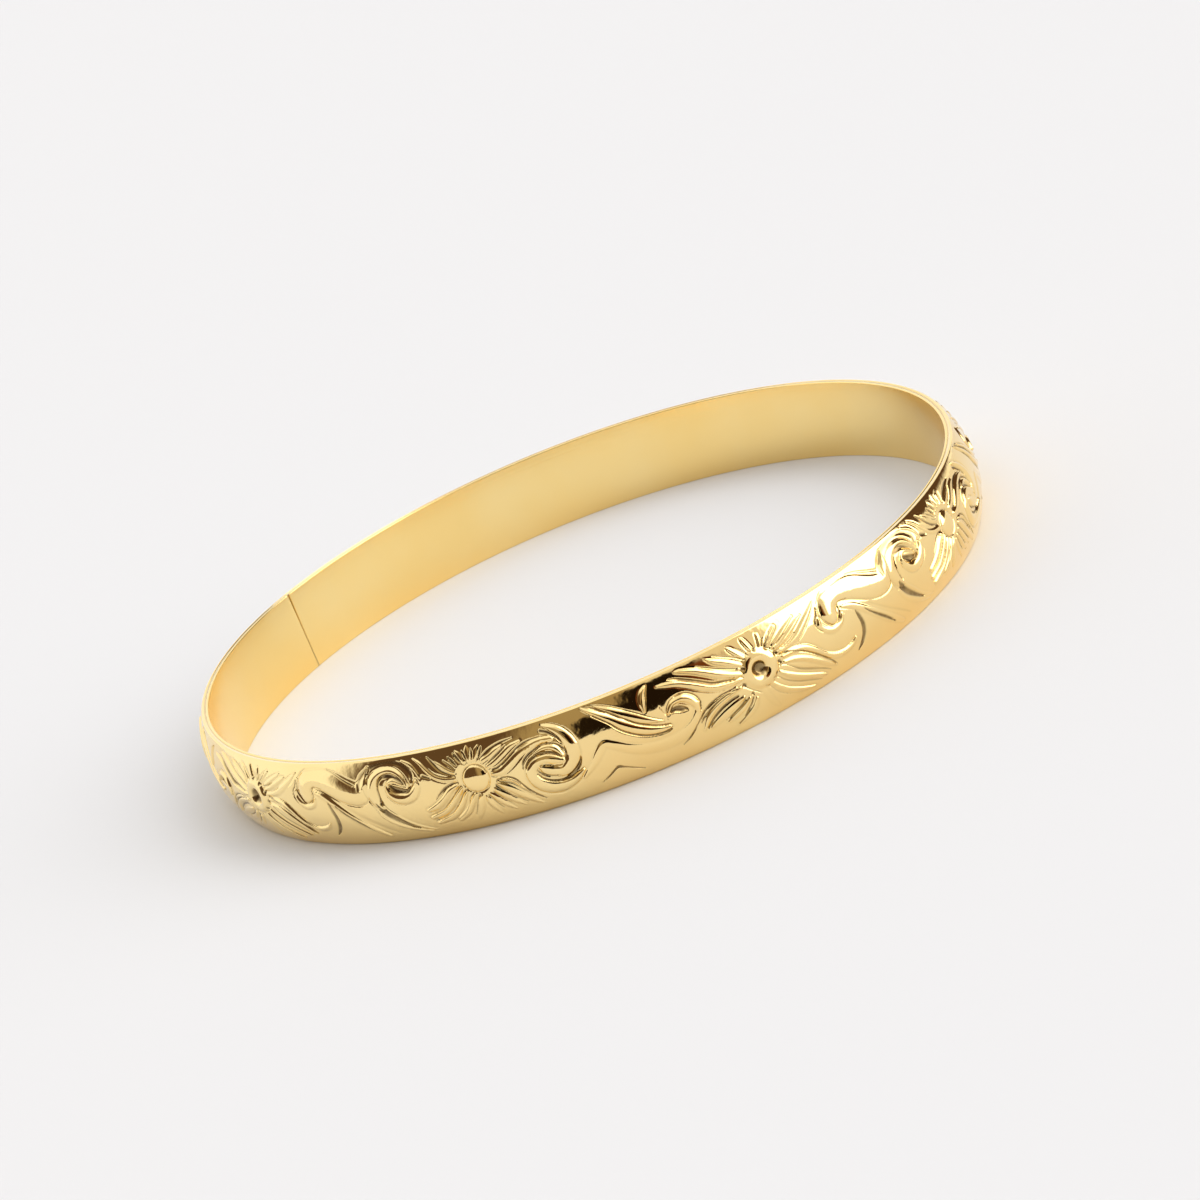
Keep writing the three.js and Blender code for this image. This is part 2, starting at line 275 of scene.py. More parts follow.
LARGE_FLOWER = {
    "raised": [
        (0.10, [(61.75, 1.75, 0.22), (61.35, 1.25, 0.3), (60.95, 0.7, 0.3), (60.75, 0.45, 0.1)]),
        (0.12, [(62.45, 1.5, 0.3), (62.3, 1.0, 0.36), (62.15, 0.5, 0.3), (62.1, 0.3, 0.1)]),
        (0.12, [(61.3, 2.05, 0.25), (60.7, 1.65, 0.36), (60.0, 1.2, 0.36), (59.4, 0.85, 0.28),
                (58.9, 0.5, 0.06)]),
        (0.14, [(61.0, 2.65, 0.3), (60.3, 2.38, 0.4), (59.4, 1.9, 0.44), (58.5, 1.32, 0.4),
                (57.6, 0.8, 0.32), (56.7, 0.45, 0.2), (56.3, 0.38, 0.05)]),
        (0.12, [(60.9, 2.98, 0.2), (59.9, 2.92, 0.36), (58.9, 2.72, 0.44), (58.0, 2.25, 0.5),
                (57.1, 1.65, 0.46), (56.1, 1.15, 0.34), (55.2, 0.9, 0.26), (54.6, 0.78, 0.06)]),
        (0.08, [(63.15, 1.5, 0.2), (63.3, 1.1, 0.26), (63.4, 0.6, 0.2)]),
        (0.08, [(63.6, 1.7, 0.2), (64.1, 1.2, 0.28), (64.9, 0.7, 0.2)]),
        (0.08, [(63.95, 1.95, 0.22), (64.7, 1.6, 0.3), (65.7, 1.15, 0.3), (66.6, 0.75, 0.1)]),
        (0.10, [(64.15, 2.15, 0.2), (65.0, 1.92, 0.34), (66.0, 1.5, 0.36), (66.8, 1.15, 0.28),
                (67.25, 0.98, 0.08)]),
        (0.10, [(64.3, 2.5, 0.2), (65.2, 2.42, 0.36), (66.2, 2.15, 0.5), (67.2, 1.6, 0.46),
                (68.2, 1.0, 0.3), (68.8, 0.6, 0.1)]),
        (0.14, [(64.5, 2.95, 0.2), (65.4, 2.95, 0.36), (66.4, 3.2, 0.46), (67.2, 3.8, 0.46),
                (67.9, 4.55, 0.44), (68.8, 5.15, 0.44), (69.8, 5.38, 0.42), (70.7, 5.2, 0.36),
                (71.1, 4.85, 0.1)]),
        (0.13, [(64.5, 3.4, 0.2), (65.4, 3.62, 0.36), (66.4, 4.15, 0.4), (67.3, 4.85, 0.38),
                (68.1, 5.5, 0.3), (68.75, 6.0, 0.06)]),
        (0.13, [(63.9, 3.95, 0.22), (64.5, 4.5, 0.36), (65.4, 5.12, 0.4), (66.4, 5.65, 0.38),
                (67.3, 6.05, 0.28), (67.8, 6.25, 0.06)]),
        (0.12, [(62.95, 4.3, 0.22), (63.4, 4.95, 0.36), (64.1, 5.6, 0.4), (65.0, 6.1, 0.36),
                (65.9, 6.45, 0.22), (66.5, 6.6, 0.05)]),
        (0.06, [(62.2, 4.5, 0.3), (62.4, 5.2, 0.4), (62.7, 5.9, 0.36), (63.1, 6.5, 0.1)]),
        (0.11, [(60.5, 3.55, 0.2), (59.4, 3.72, 0.3), (58.3, 4.02, 0.36), (57.5, 4.5, 0.36),
                (57.05, 5.05, 0.3), (56.8, 5.4, 0.15)]),
        (0.06, [(60.2, 3.38, 0.1), (59.0, 3.52, 0.14), (58.0, 3.8, 0.16), (57.2, 4.25, 0.1)]),
        (0.10, [(60.5, 4.35, 0.2), (59.6, 4.6, 0.44), (58.6, 4.95, 0.5), (57.7, 5.3, 0.35),
                (57.3, 5.5, 0.1)]),
        (0.10, [(60.9, 4.65, 0.2), (60.2, 5.15, 0.4), (59.3, 5.5, 0.4), (58.7, 5.7, 0.1)]),
        (0.10, [(61.45, 4.95, 0.25), (61.1, 5.5, 0.4), (60.4, 5.95, 0.36), (59.5, 6.3, 0.1)]),
    ],
    "cut": [
        (0.10, [(61.55, 1.72, 0.1), (61.0, 1.32, 0.15), (60.3, 0.92, 0.15), (59.5, 0.52, 0.05)]),
        (0.08, [(62.0, 1.6, 0.1), (61.65, 1.1, 0.14), (61.35, 0.75, 0.05)]),
        (0.10, [(60.75, 2.12, 0.14), (60.05, 1.78, 0.18), (59.2, 1.35, 0.17), (58.5, 0.95, 0.15),
                (58.0, 0.68, 0.06)]),
        (0.12, [(60.3, 2.78, 0.12), (59.4, 2.5, 0.3), (58.6, 2.3, 0.34), (57.9, 1.85, 0.32),
                (57.0, 1.3, 0.3), (56.2, 0.85, 0.2), (55.6, 0.65, 0.06)]),
        (0.06, [(64.2, 2.3, 0.1), (65.2, 2.22, 0.12), (66.2, 1.85, 0.1)]),
        (0.08, [(64.0, 1.85, 0.14), (64.6, 1.8, 0.12), (65.4, 1.5, 0.06)]),
        (0.09, [(63.5, 1.6, 0.12), (63.9, 1.3, 0.14), (64.4, 0.85, 0.06)]),
        (0.07, [(63.2, 1.5, 0.12), (63.65, 1.0, 0.1)]),
        (0.10, [(64.4, 2.75, 0.16), (65.0, 2.85, 0.16), (65.5, 3.0, 0.1), (66.3, 3.45, 0.14),
                (67.0, 4.0, 0.16), (67.8, 4.75, 0.18), (68.5, 5.5, 0.14), (68.85, 5.95, 0.05)]),
        (0.07, [(64.0, 3.45, 0.16), (64.45, 3.55, 0.16), (64.7, 3.8, 0.1), (65.6, 4.6, 0.3),
                (66.6, 5.15, 0.32), (67.6, 5.7, 0.2), (68.2, 6.1, 0.06)]),
        (0.07, [(63.2, 4.05, 0.16), (63.6, 4.2, 0.14), (64.2, 4.85, 0.2), (65.2, 5.5, 0.24),
                (66.4, 6.05, 0.2), (67.2, 6.4, 0.06)]),
        (0.06, [(62.4, 4.3, 0.16), (62.8, 4.65, 0.12), (63.3, 5.4, 0.1), (64.2, 6.1, 0.06)]),
        (0.05, [(66.0, 2.78, 0.06), (66.8, 3.05, 0.1), (67.3, 3.55, 0.12), (67.9, 4.25, 0.12),
                (68.6, 4.9, 0.1), (69.6, 5.28, 0.05)]),
        (0.09, [(60.2, 3.45, 0.06), (59.0, 3.62, 0.12), (58.0, 3.92, 0.2), (57.2, 4.3, 0.2),
                (56.7, 4.7, 0.06)]),
        (0.11, [(60.1, 4.05, 0.2), (59.4, 4.12, 0.28), (58.5, 4.4, 0.24), (57.7, 4.85, 0.2),
                (57.1, 5.4, 0.12)]),
        (0.09, [(60.55, 4.55, 0.14), (60.1, 4.88, 0.16), (59.4, 5.18, 0.14), (58.6, 5.42, 0.05)]),
        (0.10, [(61.2, 4.75, 0.18), (60.9, 5.15, 0.18), (60.5, 5.5, 0.16), (60.1, 5.88, 0.05)]),
        (0.08, [(60.8, 3.4, 0.25), (60.95, 3.75, 0.2), (61.3, 4.15, 0.14), (61.7, 4.5, 0.12),
                (62.0, 4.75, 0.06)]),
        (0.03, [(55.6, 5.92, 0.05), (56.4, 5.55, 0.08), (56.9, 5.85, 0.08), (57.7, 5.68, 0.08),
                (58.4, 5.55, 0.08), (58.8, 5.78, 0.05)]),
    ],
}

RIBBON = {
    "raised": [
        (0.22, [(69.75, 2.5, 0.9), (69.65, 1.9, 1.25), (70.0, 1.25, 1.35), (70.9, 0.98, 1.3),
                (72.0, 1.15, 1.5), (73.2, 1.6, 1.75), (74.4, 2.15, 1.8), (75.5, 2.4, 1.6),
                (76.2, 1.9, 1.2), (76.6, 1.1, 0.5), (76.9, 0.5, 0.1)]),
        (0.10, [(68.55, 1.95, 0.2), (68.45, 2.45, 0.35), (68.8, 3.0, 0.45), (69.5, 3.3, 0.45),
                (70.3, 3.1, 0.35), (70.7, 2.6, 0.12)]),
        (0.10, [(70.9, 2.1, 0.2), (71.8, 2.5, 0.45), (72.9, 3.4, 0.5), (74.0, 4.4, 0.55),
                (75.2, 5.4, 0.6), (76.6, 6.4, 0.3)]),
    ],
    "cut": [
        (0.08, [(68.85, 1.3, 0.1), (68.75, 1.9, 0.2), (69.0, 2.45, 0.22), (69.5, 2.95, 0.18),
                (70.1, 2.85, 0.16), (70.5, 2.4, 0.16), (70.55, 1.85, 0.12), (70.9, 1.68, 0.1),
                (71.6, 1.8, 0.1)]),
        (0.10, [(68.75, 1.12, 0.1), (68.5, 1.6, 0.16), (68.15, 2.0, 0.16), (68.15, 2.5, 0.1),
                (68.5, 3.0, 0.05)]),
        (0.07, [(72.6, 0.42, 0.04), (73.4, 0.72, 0.12), (74.2, 1.15, 0.2), (74.9, 1.5, 0.26),
                (75.4, 1.7, 0.1)]),
        (0.04, [(69.0, 0.95, 0.12), (69.6, 0.6, 0.16), (70.6, 0.4, 0.16), (71.8, 0.35, 0.14),
                (72.6, 0.45, 0.08)]),
        (0.12, [(71.9, 2.98, 0.08), (72.05, 3.5, 0.4), (72.18, 4.3, 0.52), (72.05, 5.0, 0.52),
                (71.65, 5.6, 0.38), (71.1, 6.05, 0.06)]),
        (0.13, [(72.7, 3.2, 0.05), (73.3, 3.85, 0.2), (74.0, 4.5, 0.3), (74.8, 5.2, 0.3),
                (75.6, 5.95, 0.05)]),
        (0.04, [(70.9, 1.75, 0.1), (72.0, 2.1, 0.35), (73.2, 2.95, 0.45), (74.3, 3.85, 0.5),
                (75.4, 4.7, 0.5), (76.6, 5.5, 0.5), (77.6, 6.2, 0.3)]),
    ],
}

MOTIFS = [SMALL_SCROLL, SMALL_FLOWER, LARGE_SCROLL, LEAF_AND_CURL, LARGE_FLOWER, RIBBON]

# Each boss is (along, down, radius, height of its dome), and each ring (along, down, radius of its
# crest, half width, height). Dishes and pits are (along, down, radius, depth): a dish is the shallow
# hollow that a flower's middle sits in.
BOSSES = [(38.98, 2.85, 1.06, 0.34)]
RINGS = [(62.5, 2.92, 0.98, 0.6, 0.27)]
DISHES = [(38.98, 2.85, 1.9, 0.22), (62.5, 2.92, 2.1, 0.12)]
PITS = [(62.4, 2.9, 0.7, 0.16), (62.6, 1.45, 0.16, 0.1), (63.55, 1.75, 0.18, 0.1),
        (64.05, 2.45, 0.2, 0.12), (64.15, 3.2, 0.2, 0.12), (63.6, 3.85, 0.16, 0.1),
        (60.85, 3.55, 0.22, 0.12), (61.25, 4.45, 0.16, 0.1), (61.2, 2.3, 0.2, 0.08)]


def curve_through(places, steps_per_span=7):
    """A smooth curve through the places: a Catmull-Rom spline, worked out for all spans at once."""
    p = np.asarray(places, float)
    p = np.vstack([2 * p[0] - p[1], p, 2 * p[-1] - p[-2]])
    t = np.linspace(0, 1, steps_per_span, endpoint=False)[None, :, None]
    a, b, c, d = p[:-3, None], p[1:-2, None], p[2:-1, None], p[3:, None]
    spans = 0.5 * (2 * b + (c - a) * t + (2 * a - 5 * b + 4 * c - d) * t**2
                   + (3 * b - a - 3 * c + d) * t**3)
    return np.vstack([spans.reshape(-1, p.shape[1]), p[-2]])


def stroke_shape(along, down, places):
    """Distance to a stroke's centre line and half its width there, on a grid of points.

    The distance is to the nearest of the short straight pieces that the line is cut into, where
    nearest is counted in half widths, so that a wide piece wins over a narrow one.
    """
    line = curve_through(places)
    start, step = line[:-1, :2], np.diff(line[:, :2], axis=0)
    half = np.maximum(line[:, 2], THINNEST) / 2
    offset_x = along[..., None] - start[:, 0]
    offset_y = down[..., None] - start[:, 1]
    length_squared = (step**2).sum(1) + SHORTEST
    share = np.clip((offset_x * step[:, 0] + offset_y * step[:, 1]) / length_squared, 0, 1)
    far = np.hypot(offset_x - share * step[:, 0], offset_y - share * step[:, 1])
    width = half[:-1] + share * np.diff(half)
    nearest = (far / width).argmin(-1)[..., None]
    return np.take_along_axis(far, nearest, -1)[..., 0], np.take_along_axis(width, nearest, -1)[..., 0]


def bump(u, power=1.0):
    """A rounded hump: (1 - u * u) to a power, and zero past u = 1."""
    return np.clip(1 - u * u, 0, 1) ** power


def window(along, down, low, high, shift):
    """The part of the grid between two corners (along, down), and its points' own places.

    The places are those of the pattern's first repeat, which lies back along the band by the shift.
    """
    i0, i1 = np.searchsorted(along, (low[0] + shift, high[0] + shift))
    j0, j1 = np.searchsorted(down, (low[1], high[1]))
    return (slice(j0, j1), slice(i0, i1)), np.meshgrid(along[i0:i1] - shift, down[j0:j1])


def stroke_window(along, down, places, spread, margin, shift):
    """The window that a stroke fills: its places, half its greatest width and a margin all round."""
    p = np.array(places)
    reach = p[:, 2].max() / 2 * spread + margin
    return window(along, down, p[:, :2].min(0) - reach, p[:, :2].max(0) + reach, shift)


def round_window(along, down, x0, y0, reach, shift):
    """The window that a round feature fills, and the distance of its points from the centre."""
    spot, (x, y) = window(along, down, (x0 - reach, y0 - reach), (x0 + reach, y0 + reach), shift)
    return spot, np.hypot(x - x0, y - y0)


def relief(along, down):
    """Height of the pattern over the plain dome in millimetres, and how dark it is painted: residue
    and painted shade in cuts and pits, painted shade in creases.

    Raised strokes join by the larger height and cuts by the larger depth, and the cuts are then
    taken off the raised part. A narrow crease runs beside each raised stroke where nothing else is
    raised. All of it fades to nothing at the rims. Both results are grids of down by along.
    """
    raised, cut, crease, dish = np.zeros((4, len(down), len(along)))
    first = math.floor((along[0] - PATTERN_END) / REPEAT)
    last = math.ceil((along[-1] - PATTERN_START) / REPEAT)

    def join(field, spot, shape):
        field[spot] = np.maximum(field[spot], shape)

    for repeat in range(first, last + 1):
        shift = repeat * REPEAT
        for motif in MOTIFS:
            for height, places in motif["raised"]:
                spot, (x, y) = stroke_window(along, down, places, SPREAD, CREASE_WIDTH, shift)
                if x.size:
                    far, half = stroke_shape(x, y, places)
                    half = half * SPREAD
                    join(raised, spot, RAISE * height * bump(far / half, STROKE_POWER))
                    join(crease, spot, CREASE * height * bump((far - half) / CREASE_WIDTH))
            for depth, places in motif["cut"]:
                spot, (x, y) = stroke_window(along, down, places, 1, CUT_MARGIN, shift)
                if x.size:
                    far, half = stroke_shape(x, y, places)
                    join(cut, spot, SINK * depth * bump(far / half))
        for x0, y0, radius, height in BOSSES:
            spot, far = round_window(along, down, x0, y0, radius + CREASE_WIDTH, shift)
            join(raised, spot, height * bump(far / radius, BOSS_POWER))
            join(crease, spot, CREASE * height * bump((far - radius) / CREASE_WIDTH))
        for x0, y0, crest, half, height in RINGS:
            spot, far = round_window(along, down, x0, y0, crest + half, shift)
            join(raised, spot, height * bump((far - crest) / half))
        for x0, y0, radius, depth in PITS:
            spot, far = round_window(along, down, x0, y0, radius, shift)
            join(cut, spot, depth * bump(far / radius))
        for x0, y0, radius, depth in DISHES:
            spot, far = round_window(along, down, x0, y0, radius, shift)
            join(dish, spot, depth * bump(far / radius, DISH_POWER))
    crease *= 1 - np.clip(raised / CREASE_FULL, 0, 1)
    edge = np.clip(np.minimum(down, BAND_WIDTH - down) / RIM_FADE, 0, 1)
    fade = (edge * edge * (3 - 2 * edge))[:, None]
    # Painted darkening: residue and painted shade in cuts and pits, painted shade in the creases.
    cut_residue_and_shade = np.clip((cut - DARK_FROM) / DARK_OVER, 0, 1)
    crease_painted_shade = CREASE_SHADE_DARKNESS * np.clip(crease / CREASE_FULL, 0, 1)
    return (raised - cut - dish - crease) * fade, np.maximum(cut_residue_and_shade, crease_painted_shade) * fade


# ---- Meshes ----------------------------------------------------------------------------------------

FINE = 1
LENGTHS = 5  # the shell is cut into this many objects, which keeps each one's mesh small enough
COLUMNS = int(680 * FINE)  # of quads along each length of the shell
OUTER_ROWS = int(122 * FINE)  # of points across the dome
RING_COLUMNS = 720
CORNER_STEPS = 7  # points round each corner of the shell's section, and down its hollow
ROUND_OFF_STEPS = 6

SHEET = 0.35
CORNER_RADIUS = 0.18
HOLLOW_CLEARANCE = 0.02  # the hollow stays this far outside the lips
SLOPE_OUTER, SLOPE_INNER = 0.11, 0.09  # distances from the rim between which its slope is taken
EVEN_SHARE = 0.6  # of the dome's rows; the others crowd towards the rims
LINER_ROUND_OFF = 0.08
JOINT_SINK = 0.003  # the line in the liner lies this far below its face
SEAM_OVERLAP = 0.01  # a solder seam runs this far into the liner and the lip
SEAM_SINK = 0.012
SEAM_DEPTH = 0.3


def grid_quads(rows, columns):
    """Corner numbers of the quads of a grid whose points run row by row, the last row to the first."""
    row, column = np.meshgrid(np.arange(rows), np.arange(columns - 1), indexing="ij")
    after = (row + 1) % rows
    return np.stack([row * columns + column, row * columns + column + 1,
                     after * columns + column + 1, after * columns + column], -1).reshape(-1, 4)


def add_mesh(name, points, rows, material, normals=None):
    """A closed bar made of a grid of millimetre points, put in the frame and on the root body.

    The grid's rows run along the bar, and its last row joins its first, which closes the section.
    Each end is one flat face, with a corner on every row.
    """
    columns = len(points) // rows
    quads = grid_quads(rows, columns)
    ends = np.arange(rows) * columns
    corners = np.concatenate([quads.ravel(), ends[::-1], ends + columns - 1])
    starts = np.append(np.arange(0, quads.size + 1, 4), quads.size + rows)
    mesh = bpy.data.meshes.new(name)
    mesh.vertices.add(len(points))
    mesh.vertices.foreach_set("co", np.asarray(points * MM, np.float32).ravel())
    mesh.loops.add(len(corners))
    mesh.loops.foreach_set("vertex_index", corners.astype(np.int32))
    mesh.polygons.add(len(starts))
    mesh.polygons.foreach_set("loop_start", starts.astype(np.int32))
    mesh.update(calc_edges=True)
    mesh.validate()
    mesh.shade_smooth()
    for end in mesh.polygons[-2:]:
        end.use_smooth = False
    if normals is not None:
        mesh.normals_split_custom_set_from_vertices(normals)
    mesh.materials.append(material)
    piece = bpy.data.objects.new(name, mesh)
    bpy.context.scene.collection.objects.link(piece)
    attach(piece, ROOT)
    return piece


def dome_radius(height):
    """The plain outside of the shell: the rim's radius plus a crown that is zero at both rims.

    The crown is the rise times (1 - u * u) to the power of the roundness, u running from -1 to 1.
    """
    across = (height - MIDDLE) / MIDDLE
    return RIM_RADIUS + DOME_RISE * np.maximum(0, 1 - across**2) ** DOME_ROUNDNESS


def shell_section():
    """The shell's closed section: up its outside, round its corners and lips, and down its cavity.

    Each corner is an arc that leaves the dome along its own slope and ends flat on the rim. Returns
    radius and height of the section's points; the first OUTER_ROWS are the dome.
    """
    drop = dome_radius(BAND_WIDTH - SLOPE_OUTER) - dome_radius(BAND_WIDTH - SLOPE_INNER)
    start = math.atan(drop / (SLOPE_OUTER - SLOPE_INNER))
    top = BAND_WIDTH - CORNER_RADIUS * (1 - math.sin(start))
    t = np.linspace(0, 1, OUTER_ROWS)
    spacing = EVEN_SHARE * t + (1 - EVEN_SHARE) * (1 - np.cos(np.pi * t)) / 2
    dome_h = (BAND_WIDTH - top) + (2 * top - BAND_WIDTH) * spacing
    dome_r = dome_radius(dome_h)
    turn = np.linspace(start, np.pi / 2, CORNER_STEPS)[1:]
    corner_r = dome_r[-1] + CORNER_RADIUS * (np.cos(turn) - math.cos(start))
    corner_h = BAND_WIDTH - CORNER_RADIUS * (1 - np.sin(turn))
    lip_r, lip_h = np.full(2, LIP_RADIUS), np.array([BAND_WIDTH, BAND_WIDTH - SHEET])
    hollow_h = MIDDLE + (MIDDLE - SHEET) * np.cos(np.linspace(0, np.pi, CORNER_STEPS))
    hollow_r = np.maximum(dome_radius(hollow_h) - SHEET, LIP_RADIUS + HOLLOW_CLEARANCE)
    r = np.concatenate([dome_r, corner_r, lip_r, hollow_r, lip_r, corner_r[::-1]])
    h = np.concatenate([dome_h, corner_h, lip_h, hollow_h, BAND_WIDTH - lip_h[::-1],
                        BAND_WIDTH - corner_h[::-1]])
    return r, h


def make_shell(material):
    """The embossed shell, in five lengths that share the points and normals where they meet.

    A grid runs round the band, and each of its rows is one point of the section. The pattern moves
    the dome's rows in or out. Normals are the cross products of the steps along and across the grid.
    """
    r, h = shell_section()
    rows, total = len(r), LENGTHS * COLUMNS
    first = JOINT_ANGLE + JOINT_HALF - 2 * math.pi
    angle = np.linspace(first, first + 2 * math.pi - 2 * JOINT_HALF, total + 1)
    along = (angle - ALONG_ZERO) * ALONG_RADIUS
    raised, residue_and_shade = relief(along, BAND_WIDTH - h[:OUTER_ROWS][::-1])
    radius = np.repeat(r[:, None], total + 1, 1)
    radius[:OUTER_ROWS] += raised[::-1]
    points = np.stack([radius * np.cos(angle), radius * np.sin(angle),
                       np.repeat(h[:, None], total + 1, 1)], -1)
    normals = np.cross(np.gradient(points, axis=1), np.roll(points, -1, 0) - np.roll(points, 1, 0))
    normals /= np.linalg.norm(normals, axis=-1, keepdims=True) + TINY
    # The painted darkening goes on the shell's points: residue and painted shade in cuts, painted
    # shade in creases.
    residue_and_shade_mask = np.zeros(radius.shape, np.float32)
    residue_and_shade_mask[:OUTER_ROWS] = residue_and_shade[::-1]
    for k in range(LENGTHS):
        part = slice(k * COLUMNS, (k + 1) * COLUMNS + 1)
        piece = add_mesh(f"embossed_shell_{k + 1}", points[:, part].reshape(-1, 3), rows, material,
                         normals[:, part].reshape(-1, 3))
        mark = piece.data.attributes.new("residue_and_shade_mask", "FLOAT", "POINT")
        mark.data.foreach_set("value", residue_and_shade_mask[:, part].ravel())
        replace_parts(piece, "outer_shell")


def ring_piece(name, section, material, first, last, columns=RING_COLUMNS):
    """A smooth ring: a closed section of (radius, height) carried round from one angle to another."""
    r, h = np.array(section, float).T
    angle = np.linspace(first, last, columns + 1)
    points = np.stack([r[:, None] * np.cos(angle), r[:, None] * np.sin(angle),
                       np.repeat(h[:, None], columns + 1, 1)], -1)
    return add_mesh(name, points.reshape(-1, 3), len(r), material)


def liner_section(sink):
    """The liner's section: a flat strip with quarter-round inner edges, its face sunk a little."""
    turn = np.linspace(0, np.pi / 2, ROUND_OFF_STEPS)
    edge_r = INSIDE_RADIUS + LINER_ROUND_OFF * (1 - np.sin(turn))
    edge_h = BAND_WIDTH - LINER_ROUND_OFF * (1 - np.cos(turn))
    radius = np.concatenate([[LINER_RADIUS, LINER_RADIUS], edge_r + sink, edge_r[::-1] + sink])
    height = np.concatenate([[0, BAND_WIDTH], edge_h, BAND_WIDTH - edge_h[::-1]])
    return np.stack([radius, np.clip(height, sink, BAND_WIDTH - sink)], -1)


def make_liner(material):
    """The plain liner, smooth all the way round, and the hairline where its two ends are joined."""
    piece = ring_piece("plain_liner", liner_section(0), material,
                       JOINT_ANGLE + JOINT_HALF, JOINT_ANGLE - JOINT_HALF + 2 * math.pi)
    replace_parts(piece, "inner_liner")
    joint = ring_piece("liner_joint_line", liner_section(JOINT_SINK), material,
                       JOINT_ANGLE - JOINT_HALF, JOINT_ANGLE + JOINT_HALF, columns=2)
    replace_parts(joint, "liner_closing_joint")


def make_seam(name, rim_height, material):
    """A solder seam: a ring that fills the line between liner and lip, a hair below the rim."""
    inner, outer = LINER_RADIUS - SEAM_OVERLAP, LIP_RADIUS + SEAM_OVERLAP
    inward = -1 if rim_height > MIDDLE else 1
    face, deep = rim_height + inward * SEAM_SINK, rim_height + inward * SEAM_DEPTH
    section = [(outer, deep), (outer, face), (inner, face), (inner, deep)]
    if rim_height < MIDDLE:
        section = section[::-1]
    return ring_piece(name, section, material, 0, 2 * math.pi)


# ---- Finishes ---------------------------------------------------------------------------------------


def math_node(tree, operation, *values):
    """A sum on numbers, each of them a plain number or another node's output."""
    node = tree.nodes.new("ShaderNodeMath")
    node.operation = operation
    for socket, value in zip(node.inputs, values):
        if isinstance(value, (int, float)):
            socket.default_value = value
        else:
            tree.links.new(value, socket)
    return node.outputs[0]


def gold_plate_group():
    """Plated gold's changes over the surface: its tone, residue and painted shade in grooves,
    hairlines and ripple.
    """
    tree = bpy.data.node_groups.new("gold_plate", "ShaderNodeTree")
    colour, number = "NodeSocketColor", "NodeSocketFloat"
    for name, kind in [("Gold", colour), ("Deep gold", colour), ("Residue and shade colour", colour),
                       ("Residue and shade mask", number), ("Residue and shade amount", number), ("Base roughness", number),
                       ("Roughness change", number), ("Brushing", number)]:
        tree.interface.new_socket(name, in_out="INPUT", socket_type=kind)
    for name, kind in [("Color", colour), ("Roughness", number), ("Height", number)]:
        tree.interface.new_socket(name, in_out="OUTPUT", socket_type=kind)
    given = tree.nodes.new("NodeGroupInput").outputs
    result = tree.nodes.new("NodeGroupOutput").inputs
    link = tree.links.new
    place = tree.nodes.new("ShaderNodeTexCoord").outputs["Object"]

    def noise(per_metre, detail, stretch=None):
        node = tree.nodes.new("ShaderNodeTexNoise")
        node.inputs["Scale"].default_value = per_metre
        node.inputs["Detail"].default_value = detail
        if stretch is None:
            link(place, node.inputs["Vector"])
        else:
            turn = tree.nodes.new("ShaderNodeMapping")
            turn.inputs["Scale"].default_value = stretch
            link(place, turn.inputs["Vector"])
            link(turn.outputs[0], node.inputs["Vector"])
        return node.outputs[0]

    def ramp(value, low, high, to_low=0.0, to_high=1.0):
        node = tree.nodes.new("ShaderNodeMapRange")
        for socket, number in zip(node.inputs[1:5], (low, high, to_low, to_high)):
            socket.default_value = number
        link(value, node.inputs["Value"])
        return node.outputs["Result"]

    def blend(share, a, b):
        node = tree.nodes.new("ShaderNodeMix")
        node.data_type = "RGBA"
        link(share, node.inputs["Factor"])
        link(a, node.inputs["A"])
        link(b, node.inputs["B"])
        return node.outputs["Result"]

    def times(a, b):
        return math_node(tree, "MULTIPLY", a, b)

    def plus(a, b):
        return math_node(tree, "ADD", a, b)

    # Tone: wide patches of deeper gold, and residue with painted shade in the grooves, thinner here
    # and there.
    patches = ramp(noise(95, 3), 0.35, 0.65)
    tone = blend(patches, given["Gold"], given["Deep gold"])
    thinning = ramp(noise(1500, 2), 0.3, 0.7, 0.75, 1.0)
    residue_with_shade = times(times(given["Residue and shade mask"], given["Residue and shade amount"]), thinning)
    link(blend(residue_with_shade, tone, given["Residue and shade colour"]), result["Color"])

    # Roughness: handling marks and hairlines round the band, and duller grooves under the residue and
    # painted shade.
    hairlines = noise(1, 2, stretch=(35, 35, 5200))
    marks = times(given["Roughness change"], plus(noise(300, 3), hairlines))
    link(plus(plus(given["Base roughness"], marks), times(residue_with_shade, 0.25)), result["Roughness"])

    # Height: a coarse and a fine ripple from the stamping, and the hairlines.
    ripple = plus(noise(900, 1), times(noise(2600, 1), 0.3))
    link(plus(times(ripple, 0.7), times(hairlines, given["Brushing"])), result["Height"])
    return tree


GOLD_PLATE = gold_plate_group()


def gold_finish(name, ripple_height, plate_values):
    """A gold finish: the group's colour, roughness and height on a metal surface.

    The ripple's height is in metres.
    """
    material = bpy.data.materials.new(name)
    material.use_nodes = True
    tree = material.node_tree
    shader = tree.nodes["Principled BSDF"]
    shader.inputs["Metallic"].default_value = 1
    plate = tree.nodes.new("ShaderNodeGroup")
    plate.node_tree = GOLD_PLATE
    for socket, value in plate_values.items():
        plate.inputs[socket].default_value = value
    # The shell's mask of residue and painted shade darkens the gold in its grooves.
    residue_and_shade_mask = tree.nodes.new("ShaderNodeAttribute")
    residue_and_shade_mask.attribute_name = "residue_and_shade_mask"
    tree.links.new(residue_and_shade_mask.outputs["Fac"], plate.inputs["Residue and shade mask"])
    surface = tree.nodes.new("ShaderNodeBump")
    surface.inputs["Distance"].default_value = ripple_height
    tree.links.new(plate.outputs["Height"], surface.inputs["Height"])
    tree.links.new(plate.outputs["Color"], shader.inputs["Base Color"])
    tree.links.new(plate.outputs["Roughness"], shader.inputs["Roughness"])
    tree.links.new(surface.outputs[0], shader.inputs["Normal"])
    return material


